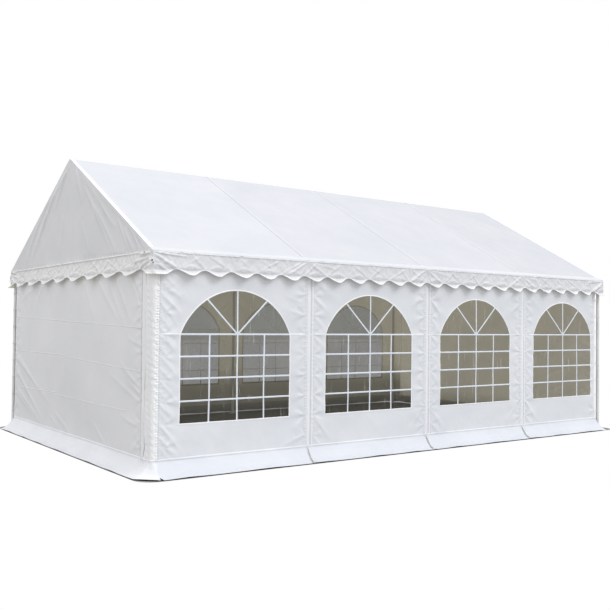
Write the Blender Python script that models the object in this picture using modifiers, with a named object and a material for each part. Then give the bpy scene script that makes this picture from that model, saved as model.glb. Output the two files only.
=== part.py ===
# Marquee tent, 5 m by 8 m in four bays, on a tube frame with arched windows down both long sides.
# Metres, +Z up. The origin is on the ground at the middle of the tent, and +X runs along the ridge.
# The tent looks the same after half a turn about Z, so each side wall is made once and then turned.

from math import atan2, cos, pi, radians, sin, tan

import bmesh
import bpy
from mathutils import Matrix, Vector

# Driving dimensions
BAY = 2.0                    # from post to post along the side
BAYS = 4
HALF_WIDTH = 2.5             # from the ridge line to the side posts' centres
EAVE_HEIGHT = 2.44           # roof cover's lower edge
RIDGE_HEIGHT = 3.83          # roof cover at the ridge
ROOF_REACH_X = 4.06          # roof cover past the middle, along the ridge
ROOF_REACH_Y = 2.56          # and across it
VALANCE_DEPTH = 0.25
SCALLOP_DEPTH = 0.06
SIDE_SCALLOPS = 23           # notches in the valance down one side
SIDE_SCALLOP_REACH = 3.77    # outermost notch from the middle
GABLE_SCALLOPS = 9

POST_RADIUS = 0.025
TUBE_RADIUS = 0.02
TUBE_SIDES = 16
BEND_RADIUS = 0.05           # of the bows' centre line at the ridge
BEND_STEPS = 4
PLATE_SIDE = 0.12
PLATE_THICKNESS = 0.006
PEG_HOLE_RADIUS = 0.007
PEG_HOLE_OFFSET = 0.042
RAIL_HEIGHT = 2.32

SKIN = 0.003                 # fabric, modelled thicker than the real 0.5 mm
WALL_TOP = 2.41
FLAP_HEIGHT = 0.18           # weld where the ground flap starts
FLAP_SPREAD = 0.18           # how far the flap runs out over the ground
FLAP_STEPS = 7
LAP = 0.033                  # each wall covers the post at its far end by this much
CORNER_GAP = 0.09            # the last wall of a side stops short of its corner post
CORNER_STEPS = 6

SILL_HEIGHT = 0.565
SPRING_HEIGHT = 1.545        # where the straight jambs turn into the arch
ARCH_RISE = 0.5
WINDOW_HALF = 0.73
ARCH_STEPS = 20
PANE_MARGIN = 0.025          # welded overlap of the clear sheet behind the wall
PANE = 0.001

GAP = 0.0003                 # left between pieces that touch

# Sizes that follow from them
HALF_LENGTH = BAY * BAYS / 2
POST_X = [BAY * index - HALF_LENGTH for index in range(BAYS + 1)]
PITCH = atan2(RIDGE_HEIGHT - EAVE_HEIGHT, ROOF_REACH_Y)
RISE = (RIDGE_HEIGHT - EAVE_HEIGHT) / ROOF_REACH_Y
SKIN_DROP = SKIN / cos(PITCH)
BOW_DROP = (SKIN + GAP + TUBE_RADIUS) / cos(PITCH)
WALL_OFFSET = POST_RADIUS + GAP + SKIN / 2
SEAT_HEIGHT = EAVE_HEIGHT + (ROOF_REACH_Y - HALF_WIDTH) * RISE - BOW_DROP
POST_HEIGHT = SEAT_HEIGHT - (TUBE_RADIUS + GAP) / cos(PITCH)


def clear_scene():
    for obj in list(bpy.data.objects):
        bpy.data.objects.remove(obj, do_unlink=True)


def make_collection(name, hidden=False):
    collection = bpy.data.collections.new(name)
    collection.hide_render = hidden
    bpy.context.scene.collection.children.link(collection)
    return collection


def make_material(name, colour, roughness, metallic=0.0, alpha=1.0):
    material = bpy.data.materials.new(name)
    material.use_nodes = True
    shader = material.node_tree.nodes["Principled BSDF"]
    shader.inputs["Base Color"].default_value = (*colour, 1.0)
    shader.inputs["Roughness"].default_value = roughness
    shader.inputs["Metallic"].default_value = metallic
    shader.inputs["Alpha"].default_value = alpha
    return material


clear_scene()
tent = make_collection("marquee_tent")
cutters = make_collection("cutters", hidden=True)
white_steel = make_material("white_steel", (0.78, 0.79, 0.8), 0.4, 0.2)
roof_pvc = make_material("roof_pvc", (0.84, 0.86, 0.9), 0.5)
wall_pvc = make_material("wall_pvc", (0.75, 0.77, 0.8), 0.5)
gable_pvc = make_material("gable_pvc", (0.66, 0.67, 0.68), 0.5)
clear_pvc = make_material("clear_pvc", (0.55, 0.58, 0.56), 0.12, alpha=0.35)


def add_object(name, data, material, collection=tent):
    obj = bpy.data.objects.new(name, data)
    data.materials.clear()
    data.materials.append(material)
    collection.objects.link(obj)
    return obj


def mesh_of(obj):
    """The finished mesh of an object, its modifiers worked in and its loose caps welded."""
    bpy.context.view_layer.update()
    mesh = bpy.data.meshes.new_from_object(obj.evaluated_get(bpy.context.evaluated_depsgraph_get()))
    welded = bmesh.new()
    welded.from_mesh(mesh)
    bmesh.ops.remove_doubles(welded, verts=welded.verts, dist=1e-6)
    welded.to_mesh(mesh)
    welded.free()
    return mesh


def make_cutter(name, bm):
    mesh = bpy.data.meshes.new(name)
    bmesh.ops.recalc_face_normals(bm, faces=bm.faces)
    bm.to_mesh(mesh)
    bm.free()
    cutter = add_object(name, mesh, white_steel, cutters)
    cutter.hide_render = True
    cutter.display_type = "WIRE"
    return cutter


def add_boolean(obj, cutter, operation):
    modifier = obj.modifiers.new(cutter.name, "BOOLEAN")
    modifier.operation = operation
    modifier.object = cutter


def make_tube(name, points, radius, material):
    """A round tube along straight runs, closed at both ends."""
    curve = bpy.data.curves.new(name, "CURVE")
    curve.dimensions = "3D"
    curve.bevel_depth = radius
    curve.bevel_resolution = (TUBE_SIDES - 4) // 2
    curve.use_fill_caps = True
    spline = curve.splines.new("POLY")
    spline.points.add(len(points) - 1)
    for point, place in zip(spline.points, points):
        point.co = (*place, 1.0)
    return add_object(name, curve, material)


def with_bends(points):
    """The same path with each corner turned into an arc."""
    corners = [Vector(point) for point in points]
    path = [corners[0]]
    for before, corner, after in zip(corners, corners[1:], corners[2:]):
        back = (before - corner).normalized()
        on = (after - corner).normalized()
        half_angle = back.angle(on) / 2
        centre = corner + (back + on).normalized() * BEND_RADIUS / sin(half_angle)
        reach = BEND_RADIUS / tan(half_angle)
        first = (corner + back * reach - centre).normalized()
        last = (corner + on * reach - centre).normalized()
        for step in range(BEND_STEPS + 1):
            path.append(centre + first.slerp(last, step / BEND_STEPS) * BEND_RADIUS)
    return path + [corners[-1]]


def make_flat(name, outline, thickness, material, matrix):
    """A flat outline with a thickness, centred on its own plane."""
    curve = bpy.data.curves.new(name, "CURVE")
    curve.dimensions = "2D"
    curve.fill_mode = "BOTH"
    curve.extrude = thickness / 2
    spline = curve.splines.new("POLY")
    spline.points.add(len(outline) - 1)
    for point, (across, up) in zip(spline.points, outline):
        point.co = (across, up, 0.0, 1.0)
    spline.use_cyclic_u = True
    obj = add_object(name, curve, material)
    obj.matrix_world = matrix
    return obj


def facing_y(y):
    """Places an outline in X and Z at this Y."""
    return Matrix.Translation((0, y, 0)) @ Matrix(((1, 0, 0), (0, 0, -1), (0, 1, 0))).to_4x4()


def facing_x(x):
    """Places an outline in Y and Z at this X."""
    return Matrix.Translation((x, 0, 0)) @ Matrix(((0, 0, 1), (1, 0, 0), (0, 1, 0))).to_4x4()


HALF_TURN = Matrix.Rotation(pi, 4, "Z")


def make_post_mesh():
    """A front post on its foot plate, with a peg hole each side of it. Its top is cut to the rafter's slope."""
    post = bmesh.new()
    bmesh.ops.create_cone(post, cap_ends=True, segments=TUBE_SIDES, radius1=POST_RADIUS, radius2=POST_RADIUS,
                          depth=POST_HEIGHT, matrix=Matrix.Translation((0, 0, POST_HEIGHT / 2)))
    for corner in post.verts:
        if corner.co.z > POST_HEIGHT / 2:
            corner.co.z += corner.co.y * RISE
    mesh = bpy.data.meshes.new("post")
    post.to_mesh(mesh)
    post.free()
    pattern = add_object("post_pattern", mesh, white_steel)

    plate = bmesh.new()
    bmesh.ops.create_cube(plate, size=1.0)
    bmesh.ops.scale(plate, vec=(PLATE_SIDE, PLATE_SIDE, PLATE_THICKNESS), verts=plate.verts)
    bmesh.ops.translate(plate, vec=(0, 0, PLATE_THICKNESS / 2), verts=plate.verts)
    helpers = [make_cutter("foot_plate", plate)]
    add_boolean(pattern, helpers[0], "UNION")
    for side in (-1, 1):
        hole = bmesh.new()
        place = Matrix.Translation((side * PEG_HOLE_OFFSET, side * PEG_HOLE_OFFSET, PLATE_THICKNESS / 2))
        bmesh.ops.create_cone(hole, cap_ends=True, segments=12, radius1=PEG_HOLE_RADIUS,
                              radius2=PEG_HOLE_RADIUS, depth=4 * PLATE_THICKNESS, matrix=place)
        helpers.append(make_cutter(f"peg_hole_{len(helpers)}", hole))
        add_boolean(pattern, helpers[-1], "DIFFERENCE")

    finished = mesh_of(pattern)
    for obj in (pattern, *helpers):
        bpy.data.objects.remove(obj)
    finished.shade_smooth()
    finished.set_sharp_from_angle(angle=radians(30))
    return finished


def make_posts():
    mesh = make_post_mesh()
    for side, y, turn in (("front", -HALF_WIDTH, 0), ("back", HALF_WIDTH, pi)):
        for number, x in enumerate(POST_X, 1):
            post = add_object(f"{side}_post_{number}", mesh, white_steel)
            post.location = (x, y, 0)
            post.rotation_euler.z = turn


def make_bows():
    """Roof bows: two rafters bent into one at the ridge, each seated on a post and ending at its outer side."""
    end_y = HALF_WIDTH + POST_RADIUS
    end_z = SEAT_HEIGHT - POST_RADIUS * RISE
    apex = RIDGE_HEIGHT - BOW_DROP
    for number, x in enumerate(POST_X, 1):
        points = [(x, -end_y, end_z), (x, 0, apex), (x, end_y, end_z)]
        make_tube(f"roof_bow_{number}", with_bends(points), TUBE_RADIUS, white_steel)
    return apex - BEND_RADIUS * (1 / cos(PITCH) - 1)


def make_rails(apex):
    """The ridge rail under the bows, an eave rail inside each row of posts, and a tie across each gable."""
    end = HALF_LENGTH + TUBE_RADIUS
    ridge_z = apex - 2 * TUBE_RADIUS - GAP
    make_tube("ridge_rail", [(-end, 0, ridge_z), (end, 0, ridge_z)], TUBE_RADIUS, white_steel)
    inset = POST_RADIUS + TUBE_RADIUS + GAP
    eave_y = HALF_WIDTH - inset
    for side, y in (("front", -eave_y), ("back", eave_y)):
        make_tube(f"{side}_eave_rail", [(-end, y, RAIL_HEIGHT), (end, y, RAIL_HEIGHT)], TUBE_RADIUS, white_steel)
    tie_x = HALF_LENGTH - inset
    tie_z = RAIL_HEIGHT - 2 * TUBE_RADIUS - GAP
    for side, x in (("left", -tie_x), ("right", tie_x)):
        points = [(x, -HALF_WIDTH, tie_z), (x, HALF_WIDTH, tie_z)]
        make_tube(f"{side}_gable_tie", points, TUBE_RADIUS, white_steel)


def scalloped_edge(start, end, notches, first_notch, lower):
    """Points along a valance's wavy lower edge, with its notches evenly spaced between +-first_notch."""
    pitch = 2 * first_notch / (notches - 1)
    steps = round((end - start) / pitch * 6)
    points = []
    for step in range(steps + 1):
        across = start + (end - start) * step / steps
        if abs(across) > first_notch + pitch / 2:
            wave = 0.0
        else:
            wave = 0.5 + 0.5 * cos(2 * pi * (across + first_notch) / pitch)
        points.append((across, lower + SCALLOP_DEPTH * wave))
    return points


def make_roof():
    """The two slopes of the roof cover, and the valances that hang from its edges."""
    half_gap = GAP / 2
    slope = [(-ROOF_REACH_Y, EAVE_HEIGHT - SKIN_DROP), (-half_gap, RIDGE_HEIGHT - SKIN_DROP),
             (-half_gap, RIDGE_HEIGHT), (-ROOF_REACH_Y, EAVE_HEIGHT)]
    make_flat("roof_front", slope, 2 * ROOF_REACH_X, roof_pvc, facing_x(0))
    make_flat("roof_back", slope, 2 * ROOF_REACH_X, roof_pvc, HALF_TURN @ facing_x(0))

    lower = EAVE_HEIGHT - VALANCE_DEPTH
    edge = scalloped_edge(-ROOF_REACH_X, ROOF_REACH_X, SIDE_SCALLOPS, SIDE_SCALLOP_REACH, lower)
    valance = edge + [(ROOF_REACH_X, EAVE_HEIGHT), (-ROOF_REACH_X, EAVE_HEIGHT)]
    y = -ROOF_REACH_Y - GAP - SKIN / 2
    make_flat("front_valance", valance, SKIN, roof_pvc, facing_y(y))
    make_flat("back_valance", valance, SKIN, roof_pvc, HALF_TURN @ facing_y(y))


def make_gable_ends():
    """Each gable end is one sheet: the triangle under the roof and the valance below it."""
    reach = ROOF_REACH_Y + GAP + SKIN
    first_notch = ROOF_REACH_Y * (GABLE_SCALLOPS - 1) / GABLE_SCALLOPS
    edge = scalloped_edge(-reach, reach, GABLE_SCALLOPS, first_notch, EAVE_HEIGHT - VALANCE_DEPTH)
    outline = edge + [(reach, EAVE_HEIGHT), (0, RIDGE_HEIGHT), (-reach, EAVE_HEIGHT)]
    x = -ROOF_REACH_X - GAP - SKIN / 2
    make_flat("left_gable_end", outline, SKIN, gable_pvc, facing_x(x))
    make_flat("right_gable_end", outline, SKIN, gable_pvc, HALF_TURN @ facing_x(x))


def wall_profile():
    """A wall's section as (distance out from the post row, height): upright, then out along the ground."""
    profile = [(WALL_OFFSET, WALL_TOP)]
    lowest = SKIN / 2
    for step in range(FLAP_STEPS + 1):
        angle = pi / 2 * step / FLAP_STEPS
        out = WALL_OFFSET + FLAP_SPREAD * (1 - cos(angle))
        profile.append((out, lowest + (FLAP_HEIGHT - lowest) * (1 - sin(angle))))
    return profile


def profile_edges(bm, places):
    verts = [bm.verts.new(place) for place in places]
    return [bm.edges.new(pair) for pair in zip(verts, verts[1:])]


def extrude_along(bm, edges, vector):
    """Extrudes a row of edges and gives back the new row."""
    made = bmesh.ops.extrude_edge_only(bm, edges=edges)["geom"]
    bmesh.ops.translate(bm, vec=vector, verts=[item for item in made if isinstance(item, bmesh.types.BMVert)])
    return [item for item in made if isinstance(item, bmesh.types.BMEdge)]


def arch_outline(margin):
    """A window's outline from its left sill corner round to its right one, grown by a margin."""
    half = WINDOW_HALF
    radius = (half * half + ARCH_RISE * ARCH_RISE) / (2 * ARCH_RISE)
    centre = SPRING_HEIGHT + ARCH_RISE - radius
    start = atan2(SPRING_HEIGHT - centre, half)
    outline = [(half + margin, SILL_HEIGHT - margin)]
    for step in range(ARCH_STEPS + 1):
        angle = start + (pi - 2 * start) * step / ARCH_STEPS
        outline.append(((radius + margin) * cos(angle), centre + (radius + margin) * sin(angle)))
    outline.append((-half - margin, SILL_HEIGHT - margin))
    return outline


def sheet_object(name, bm, material):
    """An open surface made into a solid of the fabric's thickness."""
    mesh = bpy.data.meshes.new(name)
    bmesh.ops.remove_doubles(bm, verts=bm.verts, dist=1e-6)
    bmesh.ops.recalc_face_normals(bm, faces=bm.faces)
    bm.to_mesh(mesh)
    bm.free()
    obj = add_object(name, mesh, material)
    solidify = obj.modifiers.new("thickness", "SOLIDIFY")
    solidify.thickness = SKIN
    solidify.offset = 0.0
    solidify.use_even_offset = True
    return obj


def make_window_cutter(name, centre):
    outline = arch_outline(0.0)
    bm = bmesh.new()
    verts = [bm.verts.new((centre + across, -HALF_WIDTH - WALL_OFFSET - 0.05, up)) for across, up in outline]
    face = bm.faces.new(verts)
    made = bmesh.ops.extrude_face_region(bm, geom=[face])["geom"]
    bmesh.ops.translate(bm, vec=(0, 0.1, 0), verts=[item for item in made if isinstance(item, bmesh.types.BMVert)])
    return make_cutter(name, bm)


def make_window_walls():
    """Each bay's wall with its arched window and ground flap. It covers the post at its far end."""
    for number in range(1, BAYS + 1):
        start = POST_X[number - 1] + LAP + GAP
        end = POST_X[number] + LAP if number < BAYS else POST_X[number] - CORNER_GAP
        centre = POST_X[number - 1] + LAP + BAY / 2
        bm = bmesh.new()
        edges = profile_edges(bm, [(start, -HALF_WIDTH - out, up) for out, up in wall_profile()])
        extrude_along(bm, edges, (end - start, 0, 0))
        wall = sheet_object(f"front_wall_{number}", bm, wall_pvc)
        cutter = make_window_cutter(f"window_cutter_{number}", centre)
        add_boolean(wall, cutter, "DIFFERENCE")
        mesh = mesh_of(wall)
        bpy.data.objects.remove(wall)
        add_object(f"front_wall_{number}", mesh, wall_pvc)
        add_object(f"back_wall_{number}", mesh, wall_pvc).matrix_world = HALF_TURN

        pane_y = -HALF_WIDTH - POST_RADIUS + PANE / 2
        outline = [(centre + across, up) for across, up in arch_outline(PANE_MARGIN)]
        make_flat(f"front_window_{number}", outline, PANE, clear_pvc, facing_y(pane_y))
        make_flat(f"back_window_{number}", outline, PANE, clear_pvc, HALF_TURN @ facing_y(pane_y))


def make_gable_walls():
    """A gable's wall in one sheet, which wraps round one corner post and starts short of the other."""
    bm = bmesh.new()
    start_y = HALF_WIDTH - CORNER_GAP
    edges = profile_edges(bm, [(-HALF_LENGTH - out, start_y, up) for out, up in wall_profile()])
    edges = extrude_along(bm, edges, (0, -HALF_WIDTH - start_y, 0))
    spun = bmesh.ops.spin(bm, geom=edges, cent=(-HALF_LENGTH, -HALF_WIDTH, 0), axis=(0, 0, 1),
                          angle=pi / 2, steps=CORNER_STEPS)["geom_last"]
    edges = [item for item in spun if isinstance(item, bmesh.types.BMEdge)]
    extrude_along(bm, edges, (LAP, 0, 0))
    wall = sheet_object("left_gable_wall", bm, gable_pvc)
    mesh = mesh_of(wall)
    bpy.data.objects.remove(wall)
    add_object("left_gable_wall", mesh, gable_pvc)
    add_object("right_gable_wall", mesh, gable_pvc).matrix_world = HALF_TURN


make_posts()
make_rails(make_bows())
make_roof()
make_gable_ends()
make_window_walls()
make_gable_walls()
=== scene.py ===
import math

import bmesh
import bpy
import numpy as np
from mathutils import Matrix, Vector


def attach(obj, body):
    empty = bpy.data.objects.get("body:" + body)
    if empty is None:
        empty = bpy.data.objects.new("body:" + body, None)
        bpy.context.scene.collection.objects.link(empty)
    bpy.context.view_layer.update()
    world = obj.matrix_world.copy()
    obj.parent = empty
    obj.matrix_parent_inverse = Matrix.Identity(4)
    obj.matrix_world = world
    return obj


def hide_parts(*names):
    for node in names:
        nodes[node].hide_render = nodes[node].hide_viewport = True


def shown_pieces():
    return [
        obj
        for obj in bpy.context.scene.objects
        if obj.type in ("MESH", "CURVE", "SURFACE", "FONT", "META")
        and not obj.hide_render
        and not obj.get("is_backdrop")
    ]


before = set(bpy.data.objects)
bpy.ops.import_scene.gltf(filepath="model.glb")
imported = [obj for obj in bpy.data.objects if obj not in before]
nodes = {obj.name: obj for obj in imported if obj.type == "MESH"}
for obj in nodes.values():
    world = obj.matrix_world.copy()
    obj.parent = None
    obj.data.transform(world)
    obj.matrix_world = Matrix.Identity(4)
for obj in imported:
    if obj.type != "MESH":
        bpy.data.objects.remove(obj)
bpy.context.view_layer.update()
print("frame loaded,", len(nodes), "nodes")


# camera, at the photograph's place and angle
camera = {"place": (-7.820, -10.504, 1.673), "yaw": 53.963, "pitch": 1.339, "roll": 0.631, "lens": 47.84}


def setCamera(spec):
    yaw, pitch, roll = (math.radians(spec[key]) for key in ("yaw", "pitch", "roll"))
    ahead = Vector((math.cos(pitch) * math.cos(yaw), math.cos(pitch) * math.sin(yaw), math.sin(pitch)))
    right = Vector((math.sin(yaw), -math.cos(yaw), 0))
    up = right.cross(ahead)
    tiltedRight = math.cos(roll) * right + math.sin(roll) * up
    tiltedUp = math.cos(roll) * up - math.sin(roll) * right
    data = bpy.data.cameras.new("photoCamera")
    data.lens = spec["lens"]
    data.clip_end = 300
    holder = bpy.data.objects.new("photoCamera", data)
    bpy.context.scene.collection.objects.link(holder)
    turned = Matrix((tiltedRight, tiltedUp, -ahead)).transposed().to_4x4()
    holder.matrix_world = Matrix.Translation(spec["place"]) @ turned
    bpy.context.scene.camera = holder


setCamera(camera)
bpy.context.scene.view_settings.view_transform = "Standard"


# node helpers: a value is a number, a colour or another node's output
def join(tree, value, socket):
    if isinstance(value, bpy.types.NodeSocket):
        tree.links.new(value, socket)
    else:
        socket.default_value = value


def addNode(tree, kind, inputs=None, **settings):
    node = tree.nodes.new("ShaderNode" + kind)
    for key, value in settings.items():
        setattr(node, key, value)
    for key, value in (inputs or {}).items():
        join(tree, value, node.inputs[key])
    return node


def calc(tree, operation, *values):
    return addNode(tree, "Math", dict(enumerate(values)), operation=operation).outputs[0]


def mixColour(tree, factor, first, second, blend="MIX"):
    return addNode(tree, "Mix", {0: factor, 6: first, 7: second}, data_type="RGBA", blend_type=blend).outputs[2]


def rangeOf(tree, value, fromLow, fromHigh, toLow=0.0, toHigh=1.0):
    return addNode(tree, "MapRange", {0: value, 1: fromLow, 2: fromHigh, 3: toLow, 4: toHigh}).outputs[0]


def noise(tree, place, scale, detail, **more):
    return addNode(tree, "TexNoise", {"Vector": place, "Scale": scale, "Detail": detail, **more}).outputs


def addBump(tree, height, strength, distance, **more):
    return addNode(tree, "Bump", {"Height": height, "Strength": strength, "Distance": distance, **more}).outputs[0]


def placeOf(tree, kind="Object"):  # the place, and its parts along X, Y and Z
    place = addNode(tree, "TexCoord").outputs[kind]
    return place, addNode(tree, "SeparateXYZ", {0: place}).outputs


def newGroup(name, inputs, outputs):
    group = bpy.data.node_groups.new(name, "ShaderNodeTree")
    kinds = {"Colour": "NodeSocketColor", "Normal": "NodeSocketVector"}
    for label, value in inputs.items():
        kind = kinds.get(label, "NodeSocketFloat")
        group.interface.new_socket(name=label, in_out="INPUT", socket_type=kind).default_value = value
    for label in outputs:
        group.interface.new_socket(name=label, in_out="OUTPUT", socket_type=kinds.get(label, "NodeSocketFloat"))
    return group, group.nodes.new("NodeGroupInput").outputs, group.nodes.new("NodeGroupOutput").inputs


def newFinish(name, values):
    finish = bpy.data.materials.new(name)
    finish.use_nodes = True
    shader = finish.node_tree.nodes["Principled BSDF"].inputs
    for key, value in values.items():
        shader[key].default_value = value
    return finish, finish.node_tree, shader


def joinEffect(tree, effect, shader, *labels):  # a group's outputs, each to the shader's socket for it
    for label in labels:
        join(tree, effect[label], shader["Base Color" if label == "Colour" else label])


# coated cloth: scrim weave in the coating, soft crumple, cloudy whiteness, grime low down
def makeClothGroup():
    group, enter, leave = newGroup("coatedCloth", {"Colour": (0.8, 0.8, 0.8, 1), "Crumple": 1.0, "Grime": 0.3},
                                   ("Colour", "Roughness", "Normal"))
    place, parts = placeOf(group)
    cloudy = rangeOf(group, noise(group, place, 1.4, 3.0)[0], 0.35, 0.65)
    dimmed = mixColour(group, 1.0, enter["Colour"], (0.955, 0.958, 0.965, 1), "MULTIPLY")
    clean = mixColour(group, cloudy, enter["Colour"], dimmed)
    low = rangeOf(group, parts[2], 0.0, 0.5, 1.0, 0.0)
    spotted = rangeOf(group, noise(group, place, 9.0, 6.0, Roughness=0.7)[0], 0.45, 0.75)
    dirt = calc(group, "MULTIPLY", calc(group, "MULTIPLY", low, spotted), enter["Grime"])
    join(group, mixColour(group, dirt, clean, (0.5, 0.47, 0.41, 1)), leave["Colour"])
    join(group, rangeOf(group, noise(group, place, 4.0, 5.0)[0], 0.3, 0.7, 0.4, 0.56), leave["Roughness"])
    cloth = addNode(group, "UVMap", uv_map="cloth").outputs[0]
    threads = [addNode(group, "TexWave", {"Vector": cloth, "Scale": 120.0}, wave_type="BANDS",
                       bands_direction=direction).outputs["Fac"] for direction in ("X", "Y")]
    weave = addBump(group, calc(group, "ADD", *threads), 0.25, 0.0001)
    folds = noise(group, place, 7.0, 3.0, Roughness=0.4, Distortion=0.7)
    warp = addNode(group, "VectorMath", {0: folds["Color"], 1: (0.16, 0.16, 0.16)}, operation="MULTIPLY")
    warped = addNode(group, "VectorMath", {0: place, 1: warp.outputs[0]}, operation="ADD").outputs[0]
    facets = addNode(group, "TexVoronoi", {"Vector": warped, "Scale": 8.0}, feature="DISTANCE_TO_EDGE").outputs[0]
    crumpled = calc(group, "ADD", folds[0], rangeOf(group, facets, 0.0, 0.4, 0.0, 0.8))
    crumpled = calc(group, "MULTIPLY", crumpled, enter["Crumple"])
    join(group, addBump(group, crumpled, 1.0, 0.004, Normal=weave), leave["Normal"])
    return group


clothGroup = makeClothGroup()


# the inner side gets painted shade, darker and warmer, and a painted glow standing in for the daylight that comes
# through, weaker low down
def clothFinish(name, colour, crumple, grime, paintedGlow=(0.172, 0.160, 0.124, 1), paintedGlowFrom=(0.45, 0.85)):
    finish, tree, shader = newFinish(name, {"IOR": 1.45, "Specular IOR Level": 0.35, "Emission Strength": 1.0})
    values = {"Crumple": crumple, "Grime": grime, "Colour": (*colour, 1)}
    effect = addNode(tree, "Group", values, node_tree=clothGroup).outputs
    behind = addNode(tree, "NewGeometry").outputs["Backfacing"]
    # painted shade on the inner side: darker and warmer than the outer side
    dullAndPaintedShade = mixColour(tree, 1.0, effect["Colour"], (0.86, 0.83, 0.74, 1), "MULTIPLY")
    join(tree, mixColour(tree, behind, effect["Colour"], dullAndPaintedShade), shader["Base Color"])
    # painted glow on the inner side, weakening low down, standing in for daylight through the cloth
    paintedGlowHeight = rangeOf(tree, placeOf(tree)[1][2], *paintedGlowFrom, 0.05, 1.0)
    through = calc(tree, "MULTIPLY", behind, paintedGlowHeight)
    join(tree, mixColour(tree, through, (0, 0, 0, 1), paintedGlow), shader["Emission Color"])
    joinEffect(tree, effect, shader, "Roughness", "Normal")
    return finish


# colour, crumple, grime, then the painted inner glow and its heights where they aren't the usual ones
# trims get a stronger painted glow on their inner side
paintedTrimGlow = (0.28, 0.28, 0.26, 1)
clothLooks = {
    "roofBand": ((0.80, 0.81, 0.83), 0.2, 0.0), "seamCloth": ((0.62, 0.632, 0.665), 0.1, 0.0),
    "valanceCloth": ((0.70, 0.704, 0.722), 0.9, 0.0), "gableValance": ((0.755, 0.75, 0.745), 1.5, 0.0),
    "wallCloth": ((0.74, 0.757, 0.79), 0.18, 0.3), "hemCloth": ((0.85, 0.863, 0.895), 0.15, 0.3, paintedTrimGlow),
    # near-black cloth for painted shadow lines beside laps, seams and creases; a grey cloth for painted shade
    "paintedShadowCloth": ((0.33, 0.33, 0.335), 0.15, 0.1), "paintedShadeCloth": ((0.66, 0.67, 0.70), 0.15, 0.3),
    "rimCloth": ((0.93, 0.94, 0.96), 0.1, 0.1, paintedTrimGlow), "barCloth": ((0.75, 0.795, 0.86), 0.1, 0.2, paintedTrimGlow),
    # the flap cloth is darker than the wall cloth: painted shade where it faces up
    "flapCloth": ((0.655, 0.675, 0.725), 0.12, 0.08), "gableFlapCloth": ((0.74, 0.752, 0.785), 0.12, 0.08),
    "gableCloth": ((0.735, 0.735, 0.742), 0.13, 0.15, (0.205, 0.192, 0.152, 1), (0.05, 0.4)),
    # the column cloth is a lighter copy of the gable cloth: painted light where the column bulges towards the light
    "gableTopCloth": ((0.66, 0.66, 0.666), 0.13, 0.0), "paintedLitColumnCloth": ((0.81, 0.81, 0.818), 0.4, 0.1),
    "ropeCloth": ((0.87, 0.87, 0.878), 0.2, 0.0),
}
# the roof cloth is darker than the walls', painted shade where it faces up, and each panel darker than the one
# before: painted shade for the light falling off to the right
for number, shade in enumerate((0.95, 0.915, 0.905, 0.875), 1):  # the roof's panels, left to right
    clothLooks[f"roofCloth{number}"] = ([shade * part for part in (0.60, 0.612, 0.648)], 0.15, 0.0)
finishes = {name: clothFinish(name, *look) for name, look in clothLooks.items()}


# clear film, partly covered by a near-black colour as painted shade for the dim inside seen through it, with
# scratches from wear
def makeFilm(paintedShadeCover):
    # the near-black Colour is painted shade; the cover input sets how much of the view it takes
    group, enter, leave = newGroup("clearFilm", {"Colour": (0.08, 0.075, 0.06, 1), "Painted Shade Cover": 0.5},
                                   ("Colour", "Roughness", "Alpha", "Normal"))
    place, _ = placeOf(group)
    patches = noise(group, place, 2.2, 4.0)[0]
    stretched = addNode(group, "Mapping", {"Vector": place, "Rotation": (0.0, 0.5, 0.0), "Scale": (60.0, 60.0, 3.0)})
    scratched = rangeOf(group, noise(group, stretched.outputs[0], 1.0, 2.0)[0], 0.66, 0.74)
    join(group, mixColour(group, scratched, enter["Colour"], (0.5, 0.5, 0.48, 1)), leave["Colour"])
    join(group, rangeOf(group, patches, 0.3, 0.7, 0.06, 0.16), leave["Roughness"])
    cover = calc(group, "ADD", rangeOf(group, patches, 0.3, 0.7, -0.05, 0.05), enter["Painted Shade Cover"])
    join(group, calc(group, "ADD", cover, calc(group, "MULTIPLY", scratched, 0.12)), leave["Alpha"])
    waves = noise(group, place, 5.0, 3.0, Distortion=1.2)[0]
    join(group, addBump(group, waves, 0.8, 0.006), leave["Normal"])
    finish, tree, shader = newFinish("windowFilm", {"Specular IOR Level": 0.6})
    effect = addNode(tree, "Group", {"Painted Shade Cover": paintedShadeCover}, node_tree=group).outputs
    joinEffect(tree, effect, shader, "Colour", "Roughness", "Alpha", "Normal")
    return finish


# powder coat, cord and eyelets: a fine grain, with duller patches
def makeGrainGroup():
    values = {"Colour": (0.8, 0.8, 0.8, 1), "Roughness": 0.4, "Grain Scale": 700.0, "Grain Depth": 0.0002}
    group, enter, leave = newGroup("fineGrain", values, ("Colour", "Roughness", "Normal"))
    place, _ = placeOf(group)
    patches = noise(group, place, 3.0, 4.0)[0]
    dullAndPaintedShade = mixColour(group, 1.0, enter["Colour"], (0.86, 0.86, 0.86, 1), "MULTIPLY")
    join(group, mixColour(group, rangeOf(group, patches, 0.35, 0.7), enter["Colour"], dullAndPaintedShade), leave["Colour"])
    uneven = rangeOf(group, patches, 0.3, 0.7, -0.07, 0.07)
    join(group, calc(group, "ADD", enter["Roughness"], uneven), leave["Roughness"])
    grain = noise(group, place, enter["Grain Scale"], 3.0)[0]
    join(group, addBump(group, grain, 0.5, enter["Grain Depth"]), leave["Normal"])
    return group


grainGroup = makeGrainGroup()


def grainFinish(name, colour, roughness, metallic, scale, depth):
    finish, tree, shader = newFinish(name, {"Metallic": metallic})
    values = {"Colour": (*colour, 1), "Roughness": roughness, "Grain Scale": scale, "Grain Depth": depth}
    effect = addNode(tree, "Group", values, node_tree=grainGroup).outputs
    joinEffect(tree, effect, shader, "Colour", "Roughness", "Normal")
    return finish


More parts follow.
